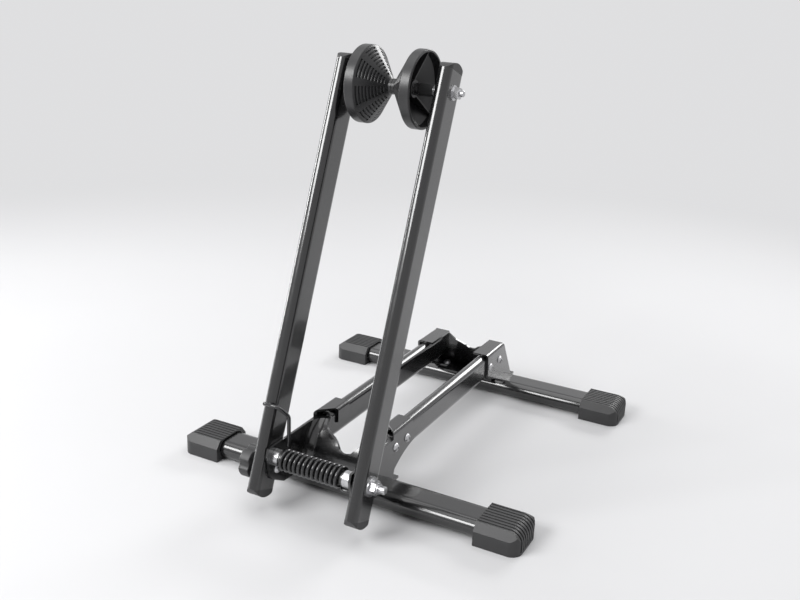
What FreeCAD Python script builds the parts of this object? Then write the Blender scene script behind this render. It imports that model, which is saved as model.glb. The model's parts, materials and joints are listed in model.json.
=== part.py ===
"""Floor bike rack: two footed crossbars, two rails, and a sprung arm that carries two cone rollers.

Millimetres, +Z up, the wheel rolls in towards -Y.  The model is laid out from the middle of the front
crossbar (y = 0) and moved at the end, so that the origin lies on the floor under the middle of the rack.
"""
import FreeCAD, Part
import math
import os
from FreeCAD import Vector

X = Vector(1, 0, 0)
Y = Vector(0, 1, 0)
Z = Vector(0, 0, 1)
SIDES = {"left": -1, "right": 1}

# ---------------------------------------------------------------- driving dimensions
# crossbars, flat-oval tube
overall_width = 400.0
bar_spacing = 326.0
bar_depth = 40.0
bar_height = 20.0
bar_wall = 1.5

# foot caps
cap_length = 47.4
cap_width = 52.3
cap_height = 24.0
cap_shoulder_z = 15.6
cap_inset = 6.4
cap_corner = 12.0
cap_sole = 1.2
cap_end_wall = 10.0
cap_roll = 13.0
cap_fit = 0.1
cap_mouth_gap = 1.2
cap_mouth_depth = 6.0
cap_grooves = 8
cap_groove_pitch = 4.9
cap_groove_width = 2.0
cap_groove_depth = 0.8
cap_end_groove_depth = 2.2
cap_lip = 3.0

# rails, flat-oval tube on edge
rail_width = 14.0
rail_height = 32.0
rail_wall = 1.5
rail_offset_x = 38.6
rail_centre_z = 60.3
rail_end_gap = 0.5

# brackets, bent sheet
sheet = 2.5
rail_fit = 0.1
bend_radius = 4.0
front_web_foot_y = -17.0
front_web_setback = 25.76
front_web_fillet = 12.0
front_base_rear_y = 18.0
saddle_skirt_z = 62.0
saddle_front_y = 3.0
saddle_edge_y = 4.0
saddle_slant_y = 29.0
saddle_slant_over = 8.0

# front bracket's side view: heights, places along Y, and (y, z) corners from its front down and back
ear_top_z = 71.1
ear_top_front_y = -80.0
ear_corners = [(-82.4, 63.3), (-78.5, 42.4), (-73.8, 34.8)]
ear_foot_y = -54.0
plate_foot_y = (-18.0, 3.5)
plate_hollow = [(8.0, 36.0), (23.0, 44.4), (51.0, 52.2)]
plate_rear_top_y = 47.0
saddle_rear_top_y = 44.0

# openings for the tyre in both webs: bottom height, and (x, z) corners up the right-hand side
bell_bottom_z = 47.4
bell_corners = [(7.2, 50.3), (11.0, 54.6), (17.0, 58.7), (22.5, 60.8), (29.5, 65.6)]
bell_half_width = 33.5
vee_bottom_z = 57.0
vee_corners = [(8.0, 61.2), (20.7, 67.4)]
vee_half_width = 33.0

# rear bracket
rear_web_lean = 31.9
rear_web_foot_y = 333.5
rear_base_front_y = 313.0
rear_base_rear_y = 342.0
rear_flange_width = 20.2
rear_tongue_length = 13.0
rear_tongue_inner_x = 13.0
rear_tongue_outer_x = 34.0
rear_plate_top_y = 247.0
rear_plate_corners = [(251.0, 47.4), (300.0, 28.0)]
rear_plate_foot_y = 307.0

# every button head, as shares of its radius and height
head_shoulder_radius = 0.74
head_shoulder_height = 0.72
head_flat_radius = 0.42
head_socket_depth = 0.65

# screws through the brackets
rail_screw_radius = 2.5
rail_screw_head_radius = 4.75
rail_screw_head_height = 2.75
rail_screw_socket = 3.0
rail_screw_length = 9.0
rail_nut_across = 8.0
rail_nut_height = 4.0
front_rail_screw_y = (9.0, 34.0)
rear_rail_screw_y = (257.0, 286.0)
base_screw_radius = 3.0
base_screw_head_radius = 5.25
base_screw_head_height = 3.3
base_screw_socket = 4.0
base_screw_length = 11.0
base_nut_across = 10.0
base_nut_height = 5.0
front_base_screw_x = 24.0
front_base_screw_y = 0.0
rear_base_screw_x = 39.0
rear_base_screw_y = 321.5
screw_hole_gap = 0.25
thread_gap = 0.05

# arm pivot
pivot_y = -68.5
pivot_z = 57.7
pivot_radius = 4.0
pivot_hole_gap = 0.1
running_gap = 0.05
pivot_head_radius = 7.0
pivot_head_height = 4.4
pivot_socket = 5.0
pivot_bolt_chamfer = 0.8
pivot_washer_radius = {"left": 8.0, "right": 10.0}
pivot_washer_thickness = 1.6
pivot_nut_across = 13.0
pivot_nut_height = 8.0
pivot_nut_hex_height = 6.0
pivot_nut_collar_radius = 5.46
pivot_thread_end = 6.5
sleeve_radius = 7.25
sleeve_gap = 0.2
bushing_radius = 8.5
side_play = 0.1
flange_thickness = 0.5
flange_radius = 9.0
upright_bush_radius = 6.0

# uprights, flat-oval tube, measured along the arm from the pivot
arm_lean = 20.6
upright_width = 14.0
upright_depth = 35.0
upright_wall = 1.5
upright_foot = 34.0
upright_top = 399.0
plug_depth = 11.0
plug_fit = 0.1
plug_rise = 8.0

# rollers
roller_drop = 19.7
roller_radius = 38.0
roller_rim_inner_x = 25.0
roller_rim_outer_x = 35.0
roller_neck_radius = 7.6
roller_neck_x = 3.0
roller_gap = 0.4
roller_wall = 2.5
roller_hub_radius = 8.5
roller_hub_outer_x = 22.5
roller_rim_round = 1.2
roller_ribs = 3
roller_rib_thickness = 1.6
roller_rib_hub_x = 20.0
roller_rib_rim_x = 30.0
roller_rib_turn = 92.0
roller_sectors = 8
roller_spoke_angle = 13.5
roller_spoke_turn = 11.5
roller_steps = 9
roller_step_first = 11.0
roller_step_pitch = 2.9
roller_step_height = 1.9
axle_tube_radius = 5.0
spacer_radius = 6.0
spacer_play = 0.3
roller_ring_length = 5.7
spacer_ring_length = 5.0
roller_bolt_radius = 3.0
roller_bolt_head_radius = 5.25
roller_bolt_head_height = 2.9
roller_bolt_socket = 4.0
roller_bolt_hole_gap = 0.15
roller_washer_radius = 7.25
roller_washer_thickness = 1.5
roller_nut_across = 10.0
roller_nut_height = 6.0
roller_bolt_end = 4.0
roller_bolt_chamfer = 0.6

# torsion spring
wire_radius = 1.9
coil_radius = 9.55
coil_left_x = -36.6
coil_right_x = 33.0
full_turns = 13
spring_leg_top = 43.0
spring_hook_gap = 0.3
spring_hook_along = 51.2
spring_hook_end_x = -60.0
spring_hook_side = 12.0
leg_bend_radius = 9.0
hook_bend_radius = 6.0
tail_straight = 1.0
tail_bend_radius = 4.5
tail_hole_gap = 0.3

# angle lock of the left upright
lock_y = -66.0
lock_z = 43.3
lock_radius = 2.5
lock_gap = 0.3
lock_head_radius = 4.6
lock_head_height = 2.6
lock_socket = 2.6
lock_washer_radius = 6.0
lock_washer_thickness = 1.0
swing_forward = 44.0
insert_radius = 4.0
insert_across = 8.5
insert_nut_height = 3.0
knob_face_x = 69.6
knob_thickness = 12.0
knob_radius = 17.0
knob_lobes = 5
knob_scoop_radius = 6.0
knob_scoop_centre = 20.5
knob_first_scoop = 26.0
knob_tip_round = 2.5
knob_round = 1.2
knob_recess_radius = 10.0
knob_recess_depth = 4.0
knob_hub_radius = 6.5
knob_hub_rise = 1.5
knob_back_wall = 2.0

# how near two lengths count as the same
same = 1e-6

# ---------------------------------------------------------------- worked out from the above
bar_half = overall_width / 2 - cap_end_wall - cap_fit
bar_centre_z = cap_sole + bar_height / 2
bar_top_z = cap_sole + bar_height
base_top_z = bar_top_z + sheet
bar_y = {"front": 0.0, "rear": bar_spacing}

rail_top_z = rail_centre_z + rail_height / 2
rail_outer_x = rail_offset_x + rail_width / 2
plate_inner_x = rail_outer_x + rail_fit
plate_outer_x = plate_inner_x + sheet
channel_top_z = rail_top_z + rail_fit + sheet
skirt_outer_x = rail_offset_x - rail_width / 2 - rail_fit

front_web_rise = ear_top_z - base_top_z
front_web_radius = (front_web_rise ** 2 + front_web_setback ** 2) / (2 * front_web_setback)
front_web_centre_y = front_web_foot_y + front_web_radius

rear_web_slope = math.tan(math.radians(rear_web_lean))
rear_web_depth = sheet / math.cos(math.radians(rear_web_lean))

upright_inner_x = plate_outer_x + side_play + flange_thickness
upright_centre_x = upright_inner_x + upright_width / 2
upright_outer_x = upright_inner_x + upright_width
roller_along = upright_top - roller_drop

pivot = Vector(0, pivot_y, pivot_z)
sleeve_half = plate_inner_x - running_gap


# ---------------------------------------------------------------- shape helpers
def line(start, end):
    return Part.LineSegment(start, end).toShape()


def arc(start, middle, end):
    return Part.Arc(start, middle, end).toShape()


def block(x0, x1, y0, y1, z0, z1):
    return Part.makeBox(x1 - x0, y1 - y0, z1 - z0, Vector(x0, y0, z0))


def rod_x(radius, x0, x1, y, z):
    """Cylinder along X."""
    return Part.makeCylinder(radius, x1 - x0, Vector(x0, y, z), X)


def rod_z(radius, z0, z1, x, y):
    """Cylinder along Z."""
    return Part.makeCylinder(radius, z1 - z0, Vector(x, y, z0), Z)


def fuse(shapes):
    joined = shapes[0]
    for shape in shapes[1:]:
        joined = joined.fuse(shape)
    return joined.removeSplitter()


def eased(radius):
    """How far the middle of a quarter round stays inside its corner."""
    return radius * (1 - math.cos(math.radians(45)))


def closed_outline(place, start, steps):
    """Wire through 2-D points: a step is an end point, or a pair (middle, end) of an arc."""
    edges = []
    at = start
    for step in steps:
        if isinstance(step[0], tuple):
            edges.append(arc(place(at), place(step[0]), place(step[1])))
            at = step[1]
        else:
            edges.append(line(place(at), place(step)))
            at = step
    if at != start:
        edges.append(line(place(at), place(start)))
    return Part.Wire(edges)


def prism_x(start, steps, x0, x1):
    """Outline in (y, z), extruded along X."""
    wire = closed_outline(lambda p: Vector(x0, p[0], p[1]), start, steps)
    return Part.Face(wire).extrude(X * (x1 - x0))


def prism_y(start, steps, y0, y1):
    """Outline in (x, z), extruded along Y."""
    wire = closed_outline(lambda p: Vector(p[0], y0, p[1]), start, steps)
    return Part.Face(wire).extrude(Y * (y1 - y0))


def obround(centre, long_way, short_way, long_size, short_size, run):
    """Flat-oval bar: the section's centre, its two directions and sizes, and the way it runs."""
    radius = short_size / 2
    flat = long_way * (long_size / 2 - radius)
    side = short_way * radius
    tip = long_way * (long_size / 2)
    edges = [
        line(centre + flat + side, centre - flat + side),
        arc(centre - flat + side, centre - tip, centre - flat - side),
        line(centre - flat - side, centre + flat - side),
        arc(centre + flat - side, centre + tip, centre + flat + side),
    ]
    return Part.Face(Part.Wire(edges)).extrude(run)


def obround_tube(centre, long_way, short_way, long_size, short_size, wall, run):
    outer = obround(centre, long_way, short_way, long_size, short_size, run)
    inner = obround(centre, long_way, short_way, long_size - 2 * wall, short_size - 2 * wall, run)
    return outer.cut(inner)


def hexagon_x(across, x0, x1, y, z, turn=0.0):
    """Hexagonal bar along X."""
    radius = across / 2 / math.cos(math.radians(30))
    points = []
    for corner in range(7):
        angle = math.radians(60 * corner + turn)
        points.append(Vector(x0, y + radius * math.cos(angle), z + radius * math.sin(angle)))
    return Part.Face(Part.makePolygon(points)).extrude(X * (x1 - x0))


def nut_x(across, bore, x0, x1, y, z):
    """Hexagonal nut along X with its corners turned off at both faces."""
    corner = across / 2 / math.cos(math.radians(30))
    cone = corner - across / 2
    body = hexagon_x(across, x0, x1, y, z)
    turned = rod_x(corner + cone / 2, x0, x1, y, z)
    rims = [edge for edge in turned.Edges if edge.Curve.TypeId == "Part::GeomCircle"]
    turned = turned.makeChamfer(cone, rims)
    return body.common(turned).cut(rod_x(bore, x0, x1, y, z))


def button_screw(radius, head_radius, head_height, length, socket):
    """Button-head screw along +X: the head's seat is at x = 0 and the shank runs to +X."""
    profile = Part.Wire([
        line(Vector(0, 0, 0), Vector(0, head_radius, 0)),
        arc(Vector(0, head_radius, 0),
            Vector(-head_height * head_shoulder_height, head_radius * head_shoulder_radius, 0),
            Vector(-head_height, head_radius * head_flat_radius, 0)),
        line(Vector(-head_height, head_radius * head_flat_radius, 0), Vector(-head_height, 0, 0)),
        line(Vector(-head_height, 0, 0), Vector(0, 0, 0)),
    ])
    head = Part.Face(profile).revolve(Vector(0, 0, 0), X, 360)
    shank = rod_x(radius, 0, length, 0, 0)
    recess = hexagon_x(socket, -head_height, -head_height * (1 - head_socket_depth), 0, 0)
    return head.fuse(shank).cut(recess).removeSplitter()


def turned_to_z(shape):
    """Turns a screw made along +X so that its shank runs down."""
    turned = shape.copy()
    turned.rotate(Vector(0, 0, 0), Y, 90)
    return turned


def mirrored(shape):
    """The same piece on the other side of the rack's middle plane."""
    return shape.mirror(Vector(0, 0, 0), X)


def moved(shape, x=0.0, y=0.0, z=0.0):
    copy = shape.copy()
    copy.translate(Vector(x, y, z))
    return copy


def on_arm(shape):
    """Places a piece that was made upright about the pivot on the leaning arm."""
    placed = shape.copy()
    placed.rotate(Vector(0, 0, 0), X, -arm_lean)
    placed.translate(pivot)
    return placed


def arm_local(y, z):
    """A place of the rack, given across and along the arm."""
    lean = math.radians(arm_lean)
    dy = y - pivot_y
    dz = z - pivot_z
    return dy * math.cos(lean) - dz * math.sin(lean), dy * math.sin(lean) + dz * math.cos(lean)


# ---------------------------------------------------------------- crossbars and foot caps
def crossbar(y, screw_x, screw_y):
    start = Vector(-bar_half, y, bar_centre_z)
    bar = obround_tube(start, Y, Z, bar_depth, bar_height, bar_wall, X * 2 * bar_half)
    for x in (-screw_x, screw_x):
        hole = rod_z(base_screw_radius + screw_hole_gap, bar_centre_z, bar_top_z + 1, x, screw_y)
        bar = bar.cut(hole)
    return bar


def cap_plan(skin):
    """The cap's plan as a full-height block: open corners at its mouth, round ones at its end."""
    mouth = overall_width / 2 - cap_length
    end = overall_width / 2 - skin
    half = cap_width / 2 - skin
    corner = cap_corner - skin
    reach = eased(corner)
    wire = closed_outline(
        lambda p: Vector(p[0], p[1], 0),
        (mouth, -half),
        [(end - corner, -half), ((end - reach, -half + reach), (end, -half + corner)),
         (end, half - corner), ((end - reach, half - reach), (end - corner, half)),
         (mouth, half)])
    return Part.Face(wire).extrude(Z * cap_height)


def cap_body(top_skin, end_skin):
    """The cap's outside, or the same form a skin's depth further in at its top and at its end."""
    mouth = overall_width / 2 - cap_length
    end = overall_width / 2
    half = cap_width / 2
    top = cap_height - top_skin
    section = prism_x((-half, 0), [(half, 0), (half, cap_shoulder_z), (half - cap_inset, top),
                                   (cap_inset - half, top), (-half, cap_shoulder_z)], mouth, end)
    middle = (cap_roll - (top_skin + end_skin) / 2) * math.cos(math.radians(45))
    profile = prism_y((mouth, 0), [(end - end_skin, 0), (end - end_skin, cap_height - cap_roll),
                                   ((end - cap_roll + middle, cap_height - cap_roll + middle),
                                    (end - cap_roll, top)), (mouth, top)], -half, half)
    return section.common(cap_plan(end_skin)).common(profile)


def foot_cap(side, y):
    mouth = overall_width / 2 - cap_length
    end = overall_width / 2
    cap = cap_body(0.0, 0.0)
    core = cap_body(cap_groove_depth, cap_end_groove_depth)
    for i in range(cap_grooves):
        middle = (i - (cap_grooves - 1) / 2) * cap_groove_pitch
        half = cap_groove_width / 2
        slab = block(mouth - 1, end + 1, middle - half, middle + half, cap_lip, cap_height + 1)
        cap = cap.cut(slab.cut(core))
    centre = Vector(mouth - 1, 0, bar_centre_z)
    room = 2 * cap_fit
    depth = cap_length - cap_end_wall + 1
    cap = cap.cut(obround(centre, Y, Z, bar_depth + room, bar_height + room, X * depth))
    flare = 2 * cap_mouth_gap
    throat = obround(centre, Y, Z, bar_depth + flare, bar_height + flare, X * (cap_mouth_depth + 1))
    above_sole = block(mouth - 2, end, -cap_width, cap_width, bar_centre_z, cap_height)
    cap = cap.cut(throat.common(above_sole))
    if side < 0:
        cap.rotate(Vector(0, 0, 0), Z, 180)
    return moved(cap, y=y)


# ---------------------------------------------------------------- rails
def web_rear_y(z, gap=0.0):
    """How far forward the front web's back face lies at a height."""
    radius = front_web_radius - sheet - gap
    return front_web_centre_y - math.sqrt(radius ** 2 - (z - base_top_z) ** 2)


def rear_web_front_y(z):
    return rear_web_foot_y - rear_web_depth - (z - bar_top_z) * rear_web_slope


def rail(side):
    """Rail tube, coped in front round the curved web and cut square before the rear web."""
    x = side * rail_offset_x
    rear = rear_web_front_y(rail_top_z) - rail_end_gap
    start = Vector(x, web_rear_y(rail_centre_z - rail_height / 2), rail_centre_z)
    tube = obround_tube(start, Z, X, rail_height, rail_width, rail_wall, Y * (rear - start.y))
    over_web = ear_top_z + rail_end_gap
    clear_radius = front_web_radius - sheet - rail_end_gap
    cope = block(x - rail_width, x + rail_width, start.y - 1, front_web_centre_y, base_top_z, over_web)
    cope = cope.cut(rod_x(clear_radius, x - rail_width, x + rail_width, front_web_centre_y, base_top_z))
    lip = block(x - rail_width, x + rail_width, start.y - 1, web_rear_y(over_web, rail_end_gap),
                over_web, rail_top_z + 1)
    tube = tube.cut(cope).cut(lip)
    for y in front_rail_screw_y + rear_rail_screw_y:
        outward = sorted((x, x + side * rail_width))
        tube = tube.cut(rod_x(rail_screw_radius + screw_hole_gap, outward[0], outward[1], y, rail_centre_z))
    return tube


def rail_screws(side):
    screw = button_screw(rail_screw_radius, rail_screw_head_radius, rail_screw_head_height,
                         rail_screw_length, rail_screw_socket)
    if side > 0:
        screw = mirrored(screw)
    return Part.makeCompound([moved(screw, side * plate_outer_x, y, rail_centre_z)
                              for y in front_rail_screw_y + rear_rail_screw_y])


def rail_nuts(side):
    """Nuts welded inside the rail's outer wall."""
    far = rail_outer_x - rail_wall
    nuts = []
    for y in front_rail_screw_y + rear_rail_screw_y:
        nut = nut_x(rail_nut_across, rail_screw_radius + thread_gap, far - rail_nut_height, far,
                    y, rail_centre_z)
        nuts.append(nut if side > 0 else mirrored(nut))
    return Part.makeCompound(nuts)


def base_screws(screw_x, screw_y):
    screw = turned_to_z(button_screw(base_screw_radius, base_screw_head_radius, base_screw_head_height,
                                     base_screw_length, base_screw_socket))
    return Part.makeCompound([moved(screw, x, screw_y, base_top_z) for x in (-screw_x, screw_x)])


def base_nuts(screw_x, screw_y):
    """Nuts welded under the crossbar's top wall."""
    nut = turned_to_z(nut_x(base_nut_across, base_screw_radius + thread_gap, 0, base_nut_height, 0, 0))
    return Part.makeCompound([moved(nut, x, screw_y, bar_top_z - bar_wall) for x in (-screw_x, screw_x)])


# ---------------------------------------------------------------- brackets
def saddle_section(y0, y1):
    """Right-hand top of the front bracket over its rail: plate, bend, flange, bend and a short skirt."""
    outer_round = bend_radius
    inner_round = bend_radius - sheet
    k = eased(outer_round)
    ki = eased(inner_round)
    top = channel_top_z
    under = top - sheet
    spring_line = top - outer_round
    out = plate_outer_x
    low = skirt_outer_x - sheet
    return prism_y(
        (out, ear_top_z - 1),
        [(out, spring_line), ((out - k, top - k), (out - outer_round, top)), (low + outer_round, top),
         ((low + k, top - k), (low, spring_line)), (low, saddle_skirt_z),
         (low + sheet, saddle_skirt_z), (low + sheet, spring_line),
         ((low + sheet + ki, under - ki), (low + outer_round, under)), (out - outer_round, under),
         ((out - sheet - ki, under - ki), (out - sheet, spring_line)), (out - sheet, ear_top_z - 1)],
        y0, y1)


def flange_section(y0, y1):
    """Right-hand side of the rear bracket: plate, bend and a flange over the rail."""
    outer_round = bend_radius
    inner_round = bend_radius - sheet
    k = eased(outer_round)
    ki = eased(inner_round)
    top = channel_top_z
    under = top - sheet
    out = plate_outer_x
    return prism_y(
        (out, bar_top_z),
        [(out, top - outer_round), ((out - k, top - k), (out - outer_round, top)),
         (out - rear_flange_width, top), (out - rear_flange_width, under), (out - outer_round, under),
         ((out - sheet - ki, under - ki), (out - sheet, top - outer_round)), (out - sheet, bar_top_z)],
        y0, y1)


def front_outline(x0, x1):
    """Side view of the front bracket."""
    above = channel_top_z + 1
    return prism_x(
        (ear_top_front_y, ear_top_z),
        ear_corners
        + [(ear_foot_y, base_top_z), (plate_foot_y[0], bar_top_z), (plate_foot_y[1], bar_top_z),
           plate_hollow[0], (plate_hollow[1], plate_hollow[2]),
           (plate_rear_top_y, ear_top_z), (saddle_rear_top_y, above), (saddle_edge_y, above),
           (saddle_front_y, ear_top_z)],
        x0, x1)


def wheel_cut():
    """The front web's bell-shaped opening, in which the tyre sits."""
    low, foot, flank, shoulder, brow = bell_corners
    upper = (bell_half_width, ear_top_z + sheet)
    return prism_y(
        (-upper[0], upper[1]),
        [((-brow[0], brow[1]), (-shoulder[0], shoulder[1])), (-flank[0], flank[1]),
         ((-foot[0], foot[1]), (-low[0], low[1])), ((0, bell_bottom_z), low), (foot, flank),
         shoulder, (brow, upper)],
        front_web_foot_y - front_web_fillet, -front_web_foot_y + front_web_fillet)


def arm_stop_slot():
    """Arc slot about the pivot that lets the lock bolt swing; its front end stops the sprung arm."""
    dy = lock_y - pivot_y
    dz = lock_z - pivot_z
    swing_radius = math.hypot(dy, dz)
    start = math.degrees(math.atan2(dz, dy))
    half = lock_radius + lock_gap
    x0 = plate_inner_x - 1
    ring = rod_x(swing_radius + half, x0, x0 + sheet + 2, pivot_y, pivot_z)
    ring = ring.cut(rod_x(swing_radius - half, x0, x0 + sheet + 2, pivot_y, pivot_z))
    reach = 3 * swing_radius
    corners = [(pivot_y + reach * math.cos(math.radians(start + turn)),
                pivot_z + reach * math.sin(math.radians(start + turn))) for turn in (0, swing_forward)]
    wedge = prism_x((pivot_y, pivot_z), corners, x0, x0 + sheet + 2)
    ends = []
    for turn in (0, swing_forward):
        angle = math.radians(start + turn)
        ends.append(rod_x(half, x0, x0 + sheet + 2, pivot_y + swing_radius * math.cos(angle),
                          pivot_z + swing_radius * math.sin(angle)))
    return mirrored(fuse([ring.common(wedge)] + ends))


def front_bracket():
    inner = plate_inner_x
    outer = plate_outer_x
    trimmed_top = ear_top_z + sheet
    front = ear_corners[0][0] - 1
    rear = plate_hollow[-1][0] + 1
    plates = [block(inner, outer, front, rear, 0, trimmed_top)]
    plates.append(mirrored(plates[0]))
    web = rod_x(front_web_radius, -inner, inner, front_web_centre_y, base_top_z)
    web = web.cut(rod_x(front_web_radius - sheet, -inner, inner, front_web_centre_y, base_top_z))
    web = web.common(block(-inner, inner, front_web_foot_y - 1, front_web_centre_y, 0, trimmed_top))
    body = fuse(plates + [web])
    corners = [edge for edge in body.Edges
               if edge.Curve.TypeId == "Part::GeomCircle"
               and abs(edge.Curve.Radius - front_web_radius) < same]
    body = body.makeFillet(front_web_fillet, corners)
    body = body.common(block(-outer, outer, front, rear, bar_top_z, ear_top_z))
    body = body.common(front_outline(-outer, outer)).cut(wheel_cut())
    saddle = saddle_section(saddle_front_y, rear)
    slant = Part.Face(Part.makePolygon([
        Vector(outer, saddle_edge_y, bar_top_z), Vector(outer, front, bar_top_z),
        Vector(0, front, bar_top_z), Vector(0, rear, bar_top_z),
        Vector(skirt_outer_x - saddle_slant_over, saddle_slant_y, bar_top_z),
        Vector(outer, saddle_edge_y, bar_top_z)])).extrude(Z * channel_top_z)
    saddle = saddle.common(front_outline(0, outer)).cut(slant)
    base = block(-outer, outer, front_web_foot_y, front_base_rear_y, bar_top_z, base_top_z)
    bracket = fuse([body, saddle, mirrored(saddle), base])
    for side in SIDES.values():
        for y in front_rail_screw_y:
            ends = sorted((side * (inner - 1), side * (outer + 1)))
            bracket = bracket.cut(rod_x(rail_screw_radius + screw_hole_gap, ends[0], ends[1],
                                        y, rail_centre_z))
    for x in (-front_base_screw_x, front_base_screw_x):
        bracket = bracket.cut(rod_z(base_screw_radius + screw_hole_gap, bar_top_z - 1, base_top_z + 1,
                                    x, front_base_screw_y))
    bracket = bracket.cut(rod_x(pivot_radius + pivot_hole_gap, -outer - 1, outer + 1, pivot_y, pivot_z))
    tail = spring_tail_centre()
    bracket = bracket.cut(rod_x(wire_radius + tail_hole_gap, inner - 1, outer + 1, tail.y, tail.z))
    return bracket.cut(arm_stop_slot())


def rear_outline(x0, x1):
    """Side view of the rear bracket; its rear edge follows the leaning web."""
    top = channel_top_z
    return prism_x(
        (rear_plate_top_y, top + 1),
        rear_plate_corners
        + [(rear_plate_foot_y, bar_top_z), (rear_web_foot_y, bar_top_z),
           (rear_web_foot_y - (top + 1 - bar_top_z) * rear_web_slope, top + 1)],
        x0, x1)


def rear_bracket():
    outer = plate_outer_x
    flange = flange_section(rear_plate_top_y - 1, rear_web_foot_y).common(rear_outline(0, outer))
    rise = channel_top_z - bar_top_z
    foot = rear_web_foot_y
    head = foot - rise * rear_web_slope
    web = prism_x((foot, bar_top_z),
                  [(head, channel_top_z), (head - rear_web_depth, channel_top_z),
                   (foot - rear_web_depth, bar_top_z)],
                  -outer + bend_radius / 2, outer - bend_radius / 2)
    low, flank = vee_corners
    above = channel_top_z + sheet
    vee = prism_y((-vee_half_width, above),
                  [(-flank[0], flank[1]), (-low[0], low[1]), ((0, vee_bottom_z), low), flank,
                   (vee_half_width, above)],
                  head - rear_flange_width, rear_base_rear_y)
    web = web.cut(vee)
    base = block(-outer, outer, rear_base_front_y, rear_base_rear_y, bar_top_z, base_top_z)
    tongues = [block(low, high, rear_base_front_y - rear_tongue_length, rear_base_front_y,
                     bar_top_z, base_top_z)
               for low, high in ((rear_tongue_inner_x, rear_tongue_outer_x),
                                 (-rear_tongue_outer_x, -rear_tongue_inner_x))]
    bracket = fuse([flange, mirrored(flange), web, base] + tongues)
    for side in SIDES.values():
        for y in rear_rail_screw_y:
            ends = sorted((side * (plate_inner_x - 1), side * (outer + 1)))
            bracket = bracket.cut(rod_x(rail_screw_radius + screw_hole_gap, ends[0], ends[1],
                                        y, rail_centre_z))
    for x in (-rear_base_screw_x, rear_base_screw_x):
        bracket = bracket.cut(rod_z(base_screw_radius + screw_hole_gap, bar_top_z - 1, base_top_z + 1,
                                    x, rear_base_screw_y))
    return bracket


# ---------------------------------------------------------------- arm pivot
def pivot_bolt():
    """Pivot bolt with its head on the left and its threaded end beyond the nut."""
    seat = upright_outer_x + side_play + pivot_washer_thickness
    end = seat + pivot_nut_height + pivot_thread_end
    bolt = button_screw(pivot_radius, pivot_head_radius, pivot_head_height, seat + end,
                        pivot_socket)
    bolt = bolt.makeChamfer(pivot_bolt_chamfer, [edge for edge in bolt.Edges
                                  if abs(edge.CenterOfMass.x - seat - end) < same])
    return moved(bolt, -seat, pivot_y, pivot_z)


def pivot_nut():
    """Lock nut: a hexagon and the collar that holds its lock ring."""
    seat = upright_outer_x + side_play + pivot_washer_thickness
    bore = pivot_radius + thread_gap
    nut = nut_x(pivot_nut_across, bore, seat, seat + pivot_nut_hex_height, pivot_y, pivot_z)
    collar = rod_x(pivot_nut_collar_radius, seat + pivot_nut_hex_height - 1, seat + pivot_nut_height,
                   pivot_y, pivot_z)
    hole = rod_x(bore, seat, seat + pivot_nut_height, pivot_y, pivot_z)
    return nut.fuse(collar.cut(hole)).removeSplitter()


def pivot_washers():
    inner = upright_outer_x + side_play
    washers = []
    for name, side in SIDES.items():
        washer = rod_x(pivot_washer_radius[name], inner, inner + pivot_washer_thickness, pivot_y, pivot_z)
        washer = washer.cut(rod_x(pivot_radius + pivot_hole_gap, 0, upright_outer_x * 2, pivot_y, pivot_z))
        washers.append(washer if side > 0 else mirrored(washer))
    return Part.makeCompound(washers)


def pivot_sleeve():
    """Steel tube between the bracket's ears, inside the spring."""
    tube = rod_x(sleeve_radius, -sleeve_half, sleeve_half, pivot_y, pivot_z)
    return tube.cut(rod_x(pivot_radius + sleeve_gap, -sleeve_half, sleeve_half, pivot_y, pivot_z))


def pivot_bushings():
    """Pale spacer rings on the sleeve, between the spring's ends and the ears."""
    spring_gap = wire_radius + spring_hook_gap
    rings = []
    for x0, x1 in ((-sleeve_half, coil_left_x - spring_gap), (coil_right_x + spring_gap, sleeve_half)):
        ring = rod_x(bushing_radius, x0, x1, pivot_y, pivot_z)
        rings.append(ring.cut(rod_x(sleeve_radius + running_gap, x0, x1, pivot_y, pivot_z)))
    return Part.makeCompound(rings)


def upright_bushes():
    """Flanged bearing bushes pressed into the uprights, which turn on the pivot bolt."""
    bush = rod_x(upright_bush_radius, upright_inner_x - flange_thickness, upright_outer_x, 0, 0)
    bush = bush.fuse(rod_x(flange_radius, upright_inner_x - flange_thickness, upright_inner_x, 0, 0))
    bush = bush.cut(rod_x(pivot_radius + running_gap, 0, upright_outer_x, 0, 0))
    return on_arm(Part.makeCompound([mirrored(bush), bush]))


# ---------------------------------------------------------------- uprights and their plugs
def upright(side):
    start = Vector(side * upright_centre_x, 0, -upright_foot)
    tube = obround_tube(start, Y, X, upright_depth, upright_width, upright_wall,
                        Z * (upright_foot + upright_top))
    ends = sorted((side * (upright_inner_x - 1), side * (upright_outer_x + 1)))
    tube = tube.cut(rod_x(upright_bush_radius, ends[0], ends[1], 0, 0))
    tube = tube.cut(rod_x(roller_bolt_radius + roller_bolt_hole_gap, ends[0], ends[1], 0, roller_along))
    if side < 0:
        across, along = arm_local(lock_y, lock_z)
        tube = tube.cut(rod_x(lock_radius + screw_hole_gap, ends[0], ends[1], across, along))
    return on_arm(tube)


def plug(side, end, out):
    """Domed plug in an upright's end: where that end lies, and 1 or -1 for the way the dome faces."""
    half = upright_depth / 2
    x = side * upright_centre_x
    dome = prism_x((-half, end), [((0, end + out * plug_rise), (half, end))],
                   x - upright_width / 2, x + upright_width / 2)
    low = min(end, end + out * plug_rise)
    dome = dome.common(obround(Vector(x, 0, low), Y, X, upright_depth, upright_width, Z * plug_rise))
    room = 2 * (upright_wall + plug_fit)
    low = min(end + out, end - out * plug_depth)
    insert = obround(Vector(x, 0, low), Y, X, upright_depth - room, upright_width - room,
                     Z * (plug_depth + 1))
    return on_arm(dome.fuse(insert))


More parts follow.
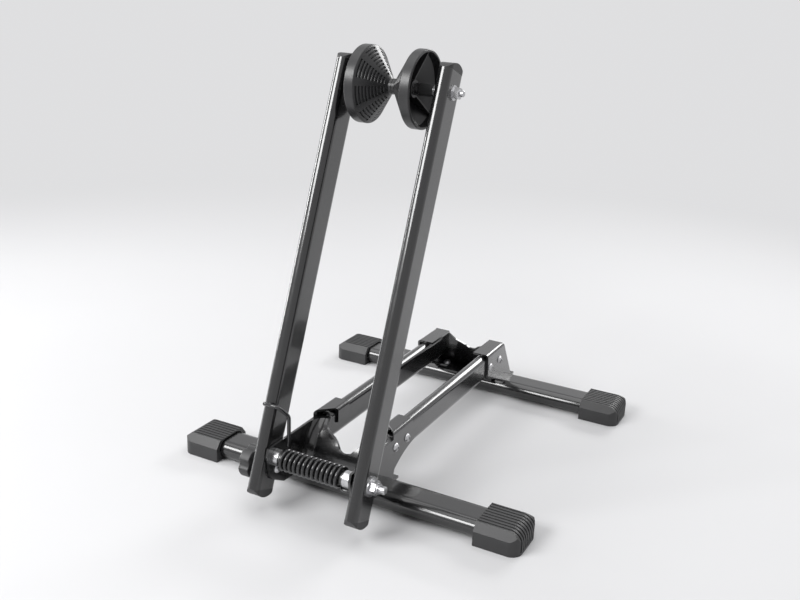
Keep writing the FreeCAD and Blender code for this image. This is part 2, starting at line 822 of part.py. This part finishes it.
# ---------------------------------------------------------------- rollers
def roller_cone_x(radius):
    """Where the wheel-side cone lies at a radius."""
    run = (roller_rim_inner_x - roller_neck_x) / (roller_radius - roller_neck_radius)
    return roller_neck_x + (radius - roller_neck_radius) * run


def revolved(points):
    wire = Part.makePolygon([Vector(x, r, 0) for x, r in points] + [Vector(points[0][0], points[0][1], 0)])
    return Part.Face(wire).revolve(Vector(0, 0, 0), X, 360)


def roller(side):
    bore = axle_tube_radius + running_gap
    run = (roller_rim_inner_x - roller_neck_x) / (roller_radius - roller_neck_radius)
    skin = roller_wall * math.hypot(1, run)
    rim_in = roller_radius - roller_wall
    start = roller_gap / 2
    wheel = revolved([
        (start, bore), (start, roller_neck_radius), (roller_neck_x, roller_neck_radius),
        (roller_rim_inner_x, roller_radius), (roller_rim_outer_x, roller_radius),
        (roller_rim_outer_x, rim_in), (roller_cone_x(rim_in) + skin, rim_in),
        (roller_cone_x(roller_hub_radius) + skin, roller_hub_radius),
        (roller_hub_outer_x, roller_hub_radius), (roller_hub_outer_x, bore)])
    rims = [edge for edge in wheel.Edges if edge.Curve.TypeId == "Part::GeomCircle"
            and abs(edge.Curve.Radius - roller_radius) < same]
    wheel = wheel.makeFillet(roller_rim_round, rims)
    half_rib = roller_rib_thickness / 2
    rib_foot = roller_hub_radius - 1
    rib_head = rim_in + 1
    rib = Part.Face(Part.makePolygon([
        Vector(roller_cone_x(rib_foot) + skin - 1, rib_foot, -half_rib),
        Vector(roller_cone_x(rib_head) + skin - 1, rib_head, -half_rib),
        Vector(roller_rib_rim_x, rib_head, -half_rib),
        Vector(roller_rib_hub_x, rib_foot, -half_rib),
        Vector(roller_cone_x(rib_foot) + skin - 1, rib_foot, -half_rib)])).extrude(Z * 2 * half_rib)
    for i in range(roller_ribs):
        one_rib = rib.copy()
        one_rib.rotate(Vector(0, 0, 0), X, roller_rib_turn + 360 * i / roller_ribs)
        wheel = wheel.fuse(one_rib)
    steps = []
    for i in range(roller_steps):
        r0 = roller_step_first + i * roller_step_pitch
        r1 = r0 + roller_step_height
        steps.append(revolved([(roller_cone_x(r0), r0), (roller_cone_x(r1), r0),
                               (roller_cone_x(r1), r1), (roller_cone_x(r1) - 1, r1),
                               (roller_cone_x(r0) - 1, r0)]))
    notches = Part.makeCompound(steps)
    half_spoke = roller_radius * math.tan(math.radians(roller_spoke_angle / 2))
    for i in range(roller_sectors):
        spoke = prism_x((0, 0), [(roller_radius, -half_spoke), (roller_radius, half_spoke)],
                        0, roller_rim_outer_x)
        spoke.rotate(Vector(0, 0, 0), X, roller_spoke_turn + 360 * i / roller_sectors)
        notches = notches.cut(spoke)
    wheel = moved(wheel.cut(notches), z=roller_along)
    return on_arm(wheel if side > 0 else mirrored(wheel))


def roller_axle_tube():
    """Tube over the roller bolt, held between the spacers, on which the rollers turn."""
    half = roller_hub_outer_x + spacer_play
    tube = rod_x(axle_tube_radius, -half, half, 0, roller_along)
    return on_arm(tube.cut(rod_x(roller_bolt_radius + roller_bolt_hole_gap, -half, half, 0, roller_along)))


def spacer_pair(x0, x1):
    """A ring on the roller bolt between two places along it, and its twin on the other side."""
    ring = rod_x(spacer_radius, x0, x1, 0, roller_along)
    ring = ring.cut(rod_x(roller_bolt_radius + roller_bolt_hole_gap, x0, x1, 0, roller_along))
    return [ring, mirrored(ring)]


def roller_bushings():
    """Bright rings at both ends of each spacer, against the axle tube and against the upright."""
    inner = roller_hub_outer_x + spacer_play
    rings = spacer_pair(inner, inner + roller_ring_length)
    rings += spacer_pair(upright_inner_x - spacer_ring_length, upright_inner_x)
    return on_arm(Part.makeCompound(rings))


def roller_spacers():
    inner = roller_hub_outer_x + spacer_play + roller_ring_length
    return on_arm(Part.makeCompound(spacer_pair(inner, upright_inner_x - spacer_ring_length)))


def roller_bolt():
    seat = upright_outer_x
    end = seat + roller_washer_thickness + roller_nut_height + roller_bolt_end
    bolt = button_screw(roller_bolt_radius, roller_bolt_head_radius, roller_bolt_head_height,
                        seat + end, roller_bolt_socket)
    bolt = bolt.makeChamfer(roller_bolt_chamfer, [edge for edge in bolt.Edges
                                  if abs(edge.CenterOfMass.x - seat - end) < same])
    return on_arm(moved(bolt, x=-seat, z=roller_along))


def roller_nut():
    seat = upright_outer_x + roller_washer_thickness
    return on_arm(nut_x(roller_nut_across, roller_bolt_radius + thread_gap, seat,
                        seat + roller_nut_height, 0, roller_along))


def roller_washer():
    washer = rod_x(roller_washer_radius, upright_outer_x, upright_outer_x + roller_washer_thickness,
                   0, roller_along)
    hole = rod_x(roller_bolt_radius + roller_bolt_hole_gap, 0, upright_outer_x * 2, 0, roller_along)
    return on_arm(washer.cut(hole))


# ---------------------------------------------------------------- torsion spring
def coil_point(turned):
    """Centre of the wire after an angle in degrees from the left end, and the way it runs."""
    pitch_rate = (coil_right_x - coil_left_x) / (360 * full_turns + 90)
    angle = math.radians(-turned)
    place = Vector(coil_left_x + pitch_rate * turned,
                   pivot_y + coil_radius * math.cos(angle), pivot_z + coil_radius * math.sin(angle))
    way = Vector(math.degrees(pitch_rate), coil_radius * math.sin(angle), -coil_radius * math.cos(angle))
    return place, way.normalize()


def spring_tail_centre():
    """Where the spring's right end crosses the right ear."""
    bottom = coil_point(360 * full_turns + 90)[0]
    return Vector(bottom.x, bottom.y - tail_straight - tail_bend_radius, bottom.z)


def corner_arc(start, corner, end):
    """Arc that leaves start towards corner and reaches end from it; both are as far from corner."""
    to_start = start - corner
    to_end = end - corner
    length = to_start.Length
    half_angle = to_start.getAngle(to_end) / 2
    bisector = (to_start + to_end).normalize()
    centre_distance = length / math.cos(half_angle)
    radius = length * math.tan(half_angle)
    return arc(start, corner + bisector * (centre_distance - radius), end)


def biarc(start, start_way, end, end_way):
    """Two arcs that join two places along given ways."""
    span = end - start
    ways = start_way + end_way
    slack = 2 * (1 - start_way.dot(end_way))
    along = span.dot(ways)
    reach = (math.sqrt(along ** 2 + slack * span.dot(span)) - along) / slack
    first = start + start_way * reach
    second = end - end_way * reach
    middle = (first + second) * 0.5
    return [corner_arc(start, first, middle), corner_arc(middle, second, end)]


def rounded_path(points, radii):
    """Straight runs through points, with tangent arcs of the given radii at the inner ones."""
    edges = []
    at = points[0]
    for i, radius in enumerate(radii, start=1):
        before = (points[i - 1] - points[i]).normalize()
        after = (points[i + 1] - points[i]).normalize()
        cut = radius / math.tan(before.getAngle(after) / 2)
        edges.append(line(at, points[i] + before * cut))
        edges.append(corner_arc(points[i] + before * cut, points[i], points[i] + after * cut))
        at = points[i] + after * cut
    edges.append(line(at, points[-1]))
    return edges


def spring_path():
    """Centre line: hook over the left upright, leg, coil, and the tail into the right ear."""
    lean = math.radians(arm_lean)
    coil_start = coil_point(0)[0]
    across = -(upright_depth / 2 + wire_radius + spring_hook_gap)
    hook_y = pivot_y + across * math.cos(lean) + spring_hook_along * math.sin(lean)
    hook_z = pivot_z - across * math.sin(lean) + spring_hook_along * math.cos(lean)
    leg_top = coil_start + Z * spring_leg_top
    hook_start = Vector(coil_left_x - spring_hook_side / 2, hook_y, hook_z)
    hook_end = Vector(spring_hook_end_x, hook_y, hook_z)
    edges = rounded_path([hook_end, hook_start, leg_top, coil_start], [hook_bend_radius, leg_bend_radius])
    last_turn = 360 * full_turns + 90
    place = coil_start
    way = Z * -1
    for turned in range(90, last_turn + 90, 90):
        next_place, next_way = coil_point(turned)
        if turned == last_turn:
            next_way = Y * -1
        edges += biarc(place, way, next_place, next_way)
        place = next_place
        way = next_way
    tail = spring_tail_centre()
    tail_end = Vector(plate_outer_x - running_gap, tail.y, tail.z)
    edges += rounded_path([place, tail, tail_end], [tail_bend_radius])
    return Part.Wire(edges)


def least_gap(wire, samples=900):
    """Smallest clear space between two stretches of the wire that lie over half a turn apart."""
    points = wire.discretize(Number=samples)
    step = wire.Length / (samples - 1)
    apart = int(math.pi * coil_radius * 0.9 / step)
    least = min((points[i] - points[j]).Length
                for i in range(samples) for j in range(i + apart, min(samples, i + 6 * apart)))
    return least - 2 * wire_radius


def torsion_spring():
    path = spring_path()
    start = path.Edges[0].valueAt(path.Edges[0].FirstParameter)
    section = Part.Wire([Part.Circle(start, X, wire_radius).toShape()])
    shell = Part.BRepOffsetAPI.MakePipeShell(path)
    shell.add(section, False, False)
    shell.build()
    shell.makeSolid()
    spring = shell.shape()
    ideal = math.pi * wire_radius ** 2 * path.Length
    print("spring: length", round(path.Length, 1), "volume ratio", round(spring.Volume / ideal, 4),
          "least gap", round(least_gap(path), 2), "mm")
    return spring


# ---------------------------------------------------------------- angle lock
def lock_bolt():
    """Screw from inside the left ear, through its slot and the upright, into the knob's insert."""
    end = knob_face_x + knob_thickness - knob_back_wall - running_gap
    seat = plate_inner_x - side_play
    screw = button_screw(lock_radius, lock_head_radius, lock_head_height, end - seat,
                         lock_socket)
    return mirrored(moved(screw, seat, lock_y, lock_z))


def lock_washer():
    washer = rod_x(lock_washer_radius, upright_outer_x, upright_outer_x + lock_washer_thickness,
                   lock_y, lock_z)
    hole = rod_x(lock_radius + screw_hole_gap, 0, upright_outer_x * 2, lock_y, lock_z)
    return mirrored(washer.cut(hole))


def knob_insert():
    """Threaded metal insert in the knob's hub, which stands out of it towards the upright."""
    start = upright_outer_x + lock_washer_thickness + side_play
    end = knob_face_x + knob_thickness - knob_back_wall
    insert = nut_x(insert_across, lock_radius + running_gap, start, start + insert_nut_height,
                   lock_y, lock_z)
    body = rod_x(insert_radius, start + insert_nut_height - 1, end, lock_y, lock_z)
    insert = insert.fuse(body.cut(rod_x(lock_radius + running_gap, start, end, lock_y, lock_z)))
    return mirrored(insert.removeSplitter())


def knob():
    """Five-lobed knob with a dished face towards the upright."""
    front = knob_face_x
    back = knob_face_x + knob_thickness
    body = rod_x(knob_radius, front, back, 0, 0)
    for i in range(knob_lobes):
        angle = math.radians(knob_first_scoop + 360 * i / knob_lobes)
        body = body.cut(rod_x(knob_scoop_radius, front - 1, back + 1,
                              knob_scoop_centre * math.cos(angle), knob_scoop_centre * math.sin(angle)))
    tips = [edge for edge in body.Edges if edge.Curve.TypeId == "Part::GeomLine"
            and abs(edge.Length - knob_thickness) < same
            and math.hypot(edge.CenterOfMass.y, edge.CenterOfMass.z) > knob_radius - 0.1]
    body = body.makeFillet(knob_tip_round, tips)
    rims = [edge for edge in body.Edges if abs(edge.BoundBox.XLength) < same]
    body = body.makeFillet(knob_round, rims)
    dish = rod_x(knob_recess_radius, front - 1, front + knob_recess_depth, 0, 0)
    body = body.cut(dish.cut(rod_x(knob_hub_radius, front - 1, back, 0, 0)))
    body = body.fuse(rod_x(knob_hub_radius, front - knob_hub_rise, front + 1, 0, 0)).removeSplitter()
    bore = insert_radius + running_gap
    body = body.cut(rod_x(bore, front - knob_hub_rise - 1, back - knob_back_wall, 0, 0))
    return mirrored(moved(body, y=lock_y, z=lock_z))


# ---------------------------------------------------------------- all pieces
def build():
    parts = {}
    screws = {"front": (front_base_screw_x, front_base_screw_y),
              "rear": (rear_base_screw_x, rear_base_screw_y)}
    for end, y in bar_y.items():
        parts["crossbar_" + end] = crossbar(y, *screws[end])
        parts["base_screws_" + end] = base_screws(*screws[end])
        parts["base_nuts_" + end] = base_nuts(*screws[end])
        for name, side in SIDES.items():
            parts["foot_cap_" + end + "_" + name] = foot_cap(side, y)
    parts["front_bracket"] = front_bracket()
    parts["rear_bracket"] = rear_bracket()
    for name, side in SIDES.items():
        parts["rail_" + name] = rail(side)
        parts["rail_screws_" + name] = rail_screws(side)
        parts["rail_nuts_" + name] = rail_nuts(side)
        parts["upright_" + name] = upright(side)
        parts["bottom_plug_" + name] = plug(side, -upright_foot, -1)
        parts["top_plug_" + name] = plug(side, upright_top, 1)
        parts["roller_" + name] = roller(side)
    parts["pivot_bolt"] = pivot_bolt()
    parts["pivot_nut"] = pivot_nut()
    parts["pivot_washers"] = pivot_washers()
    parts["pivot_sleeve"] = pivot_sleeve()
    parts["pivot_bushings"] = pivot_bushings()
    parts["upright_bushes"] = upright_bushes()
    parts["roller_axle_tube"] = roller_axle_tube()
    parts["roller_bushings"] = roller_bushings()
    parts["roller_spacers"] = roller_spacers()
    parts["roller_bolt"] = roller_bolt()
    parts["roller_nut"] = roller_nut()
    parts["roller_washer"] = roller_washer()
    parts["torsion_spring"] = torsion_spring()
    parts["lock_bolt"] = lock_bolt()
    parts["lock_washer"] = lock_washer()
    parts["knob_insert"] = knob_insert()
    parts["knob"] = knob()
    return parts


def main():
    parts = build()
    whole = Part.makeCompound(list(parts.values())).optimalBoundingBox(False, False)
    shift = -(whole.YMin + whole.YMax) / 2
    print("whole:", [round(v, 2) for v in (whole.XMin, whole.XMax, whole.YMin, whole.YMax,
                                           whole.ZMin, whole.ZMax)], "moved along Y by", round(shift, 3))
    os.makedirs("parts", exist_ok=True)
    for name, shape in parts.items():
        shape = moved(shape, y=shift)
        for solid in shape.Solids:
            if not solid.isValid():
                print("not valid:", name)
        print(name, len(shape.Solids), "solids, volume", round(shape.Volume, 1))
        shape.exportStep("parts/" + name + ".step")


main()
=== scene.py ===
import json
import math

import bmesh
import bpy
from mathutils import Matrix, Vector


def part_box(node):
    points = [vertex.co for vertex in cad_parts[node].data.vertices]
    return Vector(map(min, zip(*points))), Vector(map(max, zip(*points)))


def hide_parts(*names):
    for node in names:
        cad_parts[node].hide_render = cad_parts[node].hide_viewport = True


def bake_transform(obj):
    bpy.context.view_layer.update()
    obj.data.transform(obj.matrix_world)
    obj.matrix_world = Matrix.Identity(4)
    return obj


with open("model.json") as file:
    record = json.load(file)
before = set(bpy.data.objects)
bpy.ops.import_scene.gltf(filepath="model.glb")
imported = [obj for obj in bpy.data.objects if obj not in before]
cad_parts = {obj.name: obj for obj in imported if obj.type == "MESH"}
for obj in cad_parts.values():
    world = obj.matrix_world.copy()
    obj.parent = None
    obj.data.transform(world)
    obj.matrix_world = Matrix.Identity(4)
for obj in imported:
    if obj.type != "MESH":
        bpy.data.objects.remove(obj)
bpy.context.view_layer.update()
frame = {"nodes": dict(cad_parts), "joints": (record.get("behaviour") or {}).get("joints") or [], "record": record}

# ---------------------------------------------------------------- named values, in metres and degrees
# camera, seen from the middle of the front crossbar
camera_place = Vector((0.4491, -0.7832, 0.5279))
camera_azimuth = 27.01
camera_elevation = 19.17
camera_roll = 2.61
camera_lens = 43.85
camera_sensor = 36.0

# backdrop: half the floor's side, its tone, and where the floor fades into it, from the middle of the rack
floor_half = 30.0
backdrop_tone = (0.74, 0.74, 0.75)
floor_fade_start = 0.6
floor_fade_end = 1.5

# overhead light, and the world's light on the object
sky_angle = 70.0
sky_strength = 1.35
world_tone = (0.8, 0.8, 0.81)
world_strength = 0.22

# softboxes: place, what they face, width, height and power.  The front one gives the bands on the
# crossbars, the left one the uprights' front-left line and the rear one the rails' top band
softboxes = {
    "front_box": ((-1.05, -1.75, 1.45), (0, -0.05, 0.05), 1.3, 0.8, 44),
    "left_box": ((-1.9, -0.1, 0.35), (0, 0, 0.25), 0.22, 1.3, 18),
    "rear_box": ((0.45, 2.1, 1.15), (0, 0, 0.1), 1.1, 0.5, 17),
}

# torsion spring
wire_radius = 0.0019
coil_radius = 0.00955
coil_left_x = -0.0366
coil_right_x = 0.0330
coil_turns = 13.25
leg_top = 0.043
hook_gap = 0.0003
hook_along = 0.0512
hook_end_x = -0.060
hook_side = 0.012
hook_bend = 0.006
leg_bend = 0.009
tail_straight = 0.001
tail_bend = 0.0045
tail_end_x = 0.04820
arm_lean = math.radians(20.6)
upright_half_depth = 0.0175
rings_per_turn = 40
wire_sides = 20
end_softness = 0.3
bend_steps = 14

pivot = Vector(next(j for j in frame["joints"] if j["name"] == "arm_swing")["pos_m"])


def middle(node):
    low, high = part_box(node)
    return (low + high) / 2


# ---------------------------------------------------------------- materials
def shader(name):
    """A new material and its tree, principled shader and texture coordinates."""
    material = bpy.data.materials.new(name)
    material.use_nodes = True
    tree = material.node_tree
    principled = tree.nodes["Principled BSDF"]
    coordinates = tree.nodes.new("ShaderNodeTexCoord")
    return material, tree, principled, coordinates


def noise(tree, coordinates, scale, detail=3.0, roughness=0.5, stretch=(1, 1, 1)):
    mapping = tree.nodes.new("ShaderNodeMapping")
    mapping.inputs["Scale"].default_value = stretch
    tree.links.new(coordinates.outputs["Object"], mapping.inputs["Vector"])
    texture = tree.nodes.new("ShaderNodeTexNoise")
    texture.inputs["Scale"].default_value = scale
    texture.inputs["Detail"].default_value = detail
    texture.inputs["Roughness"].default_value = roughness
    tree.links.new(mapping.outputs["Vector"], texture.inputs["Vector"])
    return texture.outputs["Fac"]


def ramp(tree, value, stops):
    """Maps a value through (position, colour) stops."""
    node = tree.nodes.new("ShaderNodeValToRGB")
    elements = node.color_ramp.elements
    while len(elements) < len(stops):
        elements.new(1.0)
    for element, (position, colour) in zip(elements, stops):
        element.position = position
        element.color = (*colour, 1.0)
    tree.links.new(value, node.inputs["Fac"])
    return node.outputs["Color"]


def grey(level):
    return (level, level, level)


def drive(tree, principled, socket, value, low, high):
    """Runs one of the shader's inputs between two (position, colour) stops of a texture."""
    tree.links.new(ramp(tree, value, [low, high]), principled.inputs[socket])


def bump(tree, principled, height, strength, distance):
    node = tree.nodes.new("ShaderNodeBump")
    node.inputs["Strength"].default_value = strength
    node.inputs["Distance"].default_value = distance
    tree.links.new(height, node.inputs["Height"])
    tree.links.new(node.outputs["Normal"], principled.inputs["Normal"])


def black_paint():
    """Powder coat: near black, with a fine orange peel under a satin gloss."""
    material, tree, principled, coordinates = shader("black_paint")
    cloud = noise(tree, coordinates, 22.0)
    drive(tree, principled, "Base Color", cloud, (0.3, (0.0065, 0.0065, 0.007)),
          (0.7, (0.0095, 0.0095, 0.010)))
    peel = noise(tree, coordinates, 700.0, 2.0)
    wear = noise(tree, coordinates, 60.0, 4.0, 0.6)
    drive(tree, principled, "Roughness", wear, (0.35, grey(0.20)),
          (0.7, grey(0.27)))
    bump(tree, principled, peel, 0.02, 0.0002)
    principled.inputs["Coat Weight"].default_value = 0.8
    principled.inputs["Coat Roughness"].default_value = 0.07
    return material


def black_plastic():
    """Moulded caps and plugs: matte, with a fine spark-eroded grain."""
    material, tree, principled, coordinates = shader("black_plastic")
    cloud = noise(tree, coordinates, 35.0)
    drive(tree, principled, "Base Color", cloud, (0.3, (0.028, 0.028, 0.029)),
          (0.7, (0.038, 0.038, 0.039)))
    grain = noise(tree, coordinates, 1600.0, 2.0)
    drive(tree, principled, "Roughness", grain, (0.3, grey(0.42)),
          (0.7, grey(0.54)))
    bump(tree, principled, grain, 0.16, 0.0002)
    return material


def roller_plastic():
    """Rollers: satin black nylon."""
    material, tree, principled, coordinates = shader("roller_plastic")
    cloud = noise(tree, coordinates, 40.0)
    drive(tree, principled, "Base Color", cloud, (0.3, (0.020, 0.020, 0.021)),
          (0.7, (0.029, 0.029, 0.030)))
    grain = noise(tree, coordinates, 1300.0, 2.0)
    drive(tree, principled, "Roughness", grain, (0.3, grey(0.30)),
          (0.7, grey(0.40)))
    bump(tree, principled, grain, 0.08, 0.0002)
    return material


def spring_steel():
    """Spring wire under a glossy black coat."""
    material, tree, principled, coordinates = shader("spring_steel")
    cloud = noise(tree, coordinates, 120.0)
    drive(tree, principled, "Base Color", cloud, (0.3, (0.010, 0.010, 0.011)),
          (0.7, (0.016, 0.016, 0.017)))
    wear = noise(tree, coordinates, 300.0, 3.0)
    drive(tree, principled, "Roughness", wear, (0.35, grey(0.14)),
          (0.7, grey(0.24)))
    bump(tree, principled, wear, 0.04, 0.0001)
    principled.inputs["Coat Weight"].default_value = 0.4
    principled.inputs["Coat Roughness"].default_value = 0.08
    return material


def metal(name, low, high, smooth, rough, scale=260.0, stretch=(1, 6, 6)):
    """Bare or plated metal with fine turning marks across X."""
    material, tree, principled, coordinates = shader(name)
    principled.inputs["Metallic"].default_value = 1.0
    cloud = noise(tree, coordinates, 90.0)
    drive(tree, principled, "Base Color", cloud, (0.3, low),
          (0.7, high))
    marks = noise(tree, coordinates, scale, 4.0, 0.6, stretch)
    drive(tree, principled, "Roughness", marks, (0.3, grey(smooth)),
          (0.7, grey(rough)))
    bump(tree, principled, marks, 0.06, 0.0001)
    return material


def nylon():
    """Pale bearing bushes."""
    material, tree, principled, coordinates = shader("nylon")
    cloud = noise(tree, coordinates, 60.0)
    drive(tree, principled, "Base Color", cloud, (0.3, (0.56, 0.56, 0.56)),
          (0.7, (0.66, 0.66, 0.65)))
    drive(tree, principled, "Roughness", cloud, (0.3, grey(0.35)),
          (0.7, grey(0.45)))
    principled.inputs["Subsurface Weight"].default_value = 0.1
    principled.inputs["Subsurface Radius"].default_value = (0.002, 0.002, 0.002)
    return material


finishes = {
    "black_paint": black_paint(),
    "black_plastic": black_plastic(),
    "roller_plastic": roller_plastic(),
    "spring_steel": spring_steel(),
    "dark_steel": metal("dark_steel", grey(0.10), grey(0.15), 0.28, 0.42),
    "zinc": metal("zinc", (0.46, 0.46, 0.47), (0.58, 0.58, 0.59), 0.22, 0.34),
    "nylon": nylon(),
}

for subpart in frame["record"]["subparts"]:
    node = frame["nodes"][subpart["node"]]
    node.data.materials.clear()
    node.data.materials.append(finishes[subpart["material_slot"]])


# ---------------------------------------------------------------- torsion spring
def corner_points(start, corner, end, radius):
    """Points of the arc that rounds a corner."""
    before = (start - corner).normalized()
    after = (end - corner).normalized()
    half = before.angle(after) / 2
    centre = corner + (before + after).normalized() * (radius / math.sin(half))
    cut = radius / math.tan(half)
    first = corner + before * cut - centre
    last = corner + after * cut - centre
    axis = first.cross(last).normalized()
    sweep = first.angle(last)
    return [centre + Matrix.Rotation(sweep * i / bend_steps, 3, axis) @ first
            for i in range(bend_steps + 1)]


def coil_point(turns):
    """Middle of the wire after some turns from the coil's left end."""
    angle = -2 * math.pi * turns
    x = coil_left_x + (coil_right_x - coil_left_x) * turns / coil_turns
    return Vector((x, pivot.y + coil_radius * math.cos(angle), pivot.z + coil_radius * math.sin(angle)))


def spring_line():
    """Hook over the left upright, leg, coil, and the tail into the right ear."""
    coil_start = coil_point(0)
    across = -(upright_half_depth + wire_radius + hook_gap)
    hook_y = pivot.y + across * math.cos(arm_lean) + hook_along * math.sin(arm_lean)
    hook_z = pivot.z - across * math.sin(arm_lean) + hook_along * math.cos(arm_lean)
    hook_end = Vector((hook_end_x, hook_y, hook_z))
    hook_start = Vector((coil_left_x - hook_side / 2, hook_y, hook_z))
    leg_end = coil_start + Vector((0, 0, leg_top))
    points = [hook_end]
    points += corner_points(hook_end, hook_start, leg_end, hook_bend)
    points += corner_points(hook_start, leg_end, coil_start, leg_bend)
    rings = int(coil_turns * rings_per_turn)
    points += [coil_point(coil_turns * i / rings) for i in range(rings + 1)]
    last = points[-1]
    tail = last + Vector((0, -tail_straight - tail_bend, 0))
    tail_end = Vector((tail_end_x, tail.y, tail.z))
    points += corner_points(last, tail, tail_end, tail_bend)
    points.append(tail_end)
    return points


def tube(name, points, radius, sides):
    """Round wire along points, with softened ends; its rings turn with the line and never twist."""
    mesh = bmesh.new()
    ways = []
    for i in range(len(points)):
        before = points[max(i - 1, 0)]
        after = points[min(i + 1, len(points) - 1)]
        ways.append((after - before).normalized())
    side = ways[0].orthogonal().normalized()
    rings = []
    soft = radius * end_softness
    stations = [(points[0], ways[0], radius - soft), (points[0] + ways[0] * soft, ways[0], radius)]
    stations += [(points[i], ways[i], radius) for i in range(1, len(points) - 1)]
    stations += [(points[-1] - ways[-1] * soft, ways[-1], radius), (points[-1], ways[-1], radius - soft)]
    for place, way, wide in stations:
        side = (side - way * side.dot(way)).normalized()
        across = way.cross(side)
        ring = []
        for k in range(sides):
            angle = 2 * math.pi * k / sides
            offset = side * wide * math.cos(angle) + across * wide * math.sin(angle)
            ring.append(mesh.verts.new(place + offset))
        rings.append(ring)
    for low, high in zip(rings, rings[1:]):
        for k in range(sides):
            following = (k + 1) % sides
            mesh.faces.new((low[k], low[following], high[following], high[k]))
    mesh.faces.new(list(reversed(rings[0])))
    mesh.faces.new(rings[-1])
    data = bpy.data.meshes.new(name)
    mesh.normal_update()
    mesh.to_mesh(data)
    mesh.free()
    data.shade_smooth()
    piece = bpy.data.objects.new(name, data)
    bpy.context.collection.objects.link(piece)
    return piece


spring = tube("spring_wire", spring_line(), wire_radius, wire_sides)
spring.data.materials.append(finishes["spring_steel"])
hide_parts("torsion_spring")
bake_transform(spring)


# ---------------------------------------------------------------- floor, light and camera
def plane(name, half):
    mesh = bmesh.new()
    bmesh.ops.create_grid(mesh, x_segments=1, y_segments=1, size=half)
    data = bpy.data.meshes.new(name)
    mesh.to_mesh(data)
    mesh.free()
    piece = bpy.data.objects.new(name, data)
    bpy.context.collection.objects.link(piece)
    return piece


def background_rays(tree):
    """1 for the rays that show a background: from the camera, or by way of gloss or glass."""
    path = tree.nodes.new("ShaderNodeLightPath")
    total = path.outputs["Is Camera Ray"]
    for name in ("Is Glossy Ray", "Is Transmission Ray"):
        both = tree.nodes.new("ShaderNodeMath")
        both.operation = "MAXIMUM"
        tree.links.new(total, both.inputs[0])
        tree.links.new(path.outputs[name], both.inputs[1])
        total = both.outputs[0]
    return total


def pale_emission(tree):
    node = tree.nodes.new("ShaderNodeEmission")
    node.inputs["Color"].default_value = (*backdrop_tone, 1)
    node.inputs["Strength"].default_value = 1.0
    return node.outputs[0]


floor = plane("floor", floor_half)
material, tree, principled, coordinates = shader("floor")
tone = noise(tree, coordinates, 2.0)
tree.links.new(ramp(tree, tone, [(0.3, (0.70, 0.70, 0.71)), (0.7, (0.72, 0.72, 0.73))]),
               principled.inputs["Base Color"])
principled.inputs["Roughness"].default_value = 0.6
# the floor keeps its light and shadow near the rack and runs out into an even tone further off
distance = tree.nodes.new("ShaderNodeVectorMath")
distance.operation = "LENGTH"
tree.links.new(coordinates.outputs["Object"], distance.inputs[0])
far = tree.nodes.new("ShaderNodeMapRange")
far.interpolation_type = "SMOOTHSTEP"
far.inputs["From Min"].default_value = floor_fade_start
far.inputs["From Max"].default_value = floor_fade_end
tree.links.new(distance.outputs["Value"], far.inputs["Value"])
factor = tree.nodes.new("ShaderNodeMath")
factor.operation = "MULTIPLY"
tree.links.new(far.outputs["Result"], factor.inputs[0])
tree.links.new(background_rays(tree), factor.inputs[1])
mix = tree.nodes.new("ShaderNodeMixShader")
tree.links.new(factor.outputs[0], mix.inputs["Fac"])
tree.links.new(principled.outputs[0], mix.inputs[1])
tree.links.new(pale_emission(tree), mix.inputs[2])
tree.links.new(mix.outputs[0], tree.nodes["Material Output"].inputs["Surface"])
floor.data.materials.append(material)


def softbox(name, place, target, width, height, power):
    """Rectangular lamp that the camera doesn't see."""
    data = bpy.data.lights.new(name, "AREA")
    data.shape = "RECTANGLE"
    data.size = width
    data.size_y = height
    data.energy = power
    lamp = bpy.data.objects.new(name, data)
    lamp.location = place
    lamp.rotation_euler = (Vector(target) - Vector(place)).to_track_quat("-Z", "Y").to_euler()
    lamp.visible_camera = False
    bpy.context.collection.objects.link(lamp)


for name, (place, target, width, height, power) in softboxes.items():
    softbox(name, place, target, width, height, power)

# an even light from overhead that reaches the whole floor alike
data = bpy.data.lights.new("sky_panel", "SUN")
data.angle = math.radians(sky_angle)
data.energy = sky_strength
lamp = bpy.data.objects.new("sky_panel", data)
bpy.context.collection.objects.link(lamp)

world = bpy.data.worlds.new("studio")
world.use_nodes = True
bpy.context.scene.world = world
tree = world.node_tree
background = tree.nodes["Background"]
background.inputs["Color"].default_value = (*world_tone, 1)
background.inputs["Strength"].default_value = world_strength
seen = tree.nodes.new("ShaderNodeBackground")
seen.inputs["Color"].default_value = (*backdrop_tone, 1)
seen.inputs["Strength"].default_value = 1.0
mix = tree.nodes.new("ShaderNodeMixShader")
tree.links.new(background_rays(tree), mix.inputs["Fac"])
tree.links.new(background.outputs[0], mix.inputs[1])
tree.links.new(seen.outputs[0], mix.inputs[2])
tree.links.new(mix.outputs[0], tree.nodes["World Output"].inputs["Surface"])

azimuth = math.radians(camera_azimuth)
elevation = math.radians(camera_elevation)
roll = math.radians(camera_roll)
right = Vector((math.cos(azimuth), math.sin(azimuth), 0))
back = Vector((math.sin(azimuth) * math.cos(elevation), -math.cos(azimuth) * math.cos(elevation),
               math.sin(elevation)))
up = back.cross(right)
rolled_right = right * math.cos(roll) + up * math.sin(roll)
rolled_up = up * math.cos(roll) - right * math.sin(roll)
camera_data = bpy.data.cameras.new("camera")
camera_data.lens = camera_lens
camera_data.sensor_width = camera_sensor
camera = bpy.data.objects.new("camera", camera_data)
turn = Matrix((rolled_right, rolled_up, back)).transposed()
eye = camera_place + Vector((0, middle("crossbar_front").y, 0))
camera.matrix_world = Matrix.Translation(eye) @ turn.to_4x4()
bpy.context.collection.objects.link(camera)
bpy.context.scene.camera = camera
bpy.context.scene.view_settings.view_transform = "Standard"
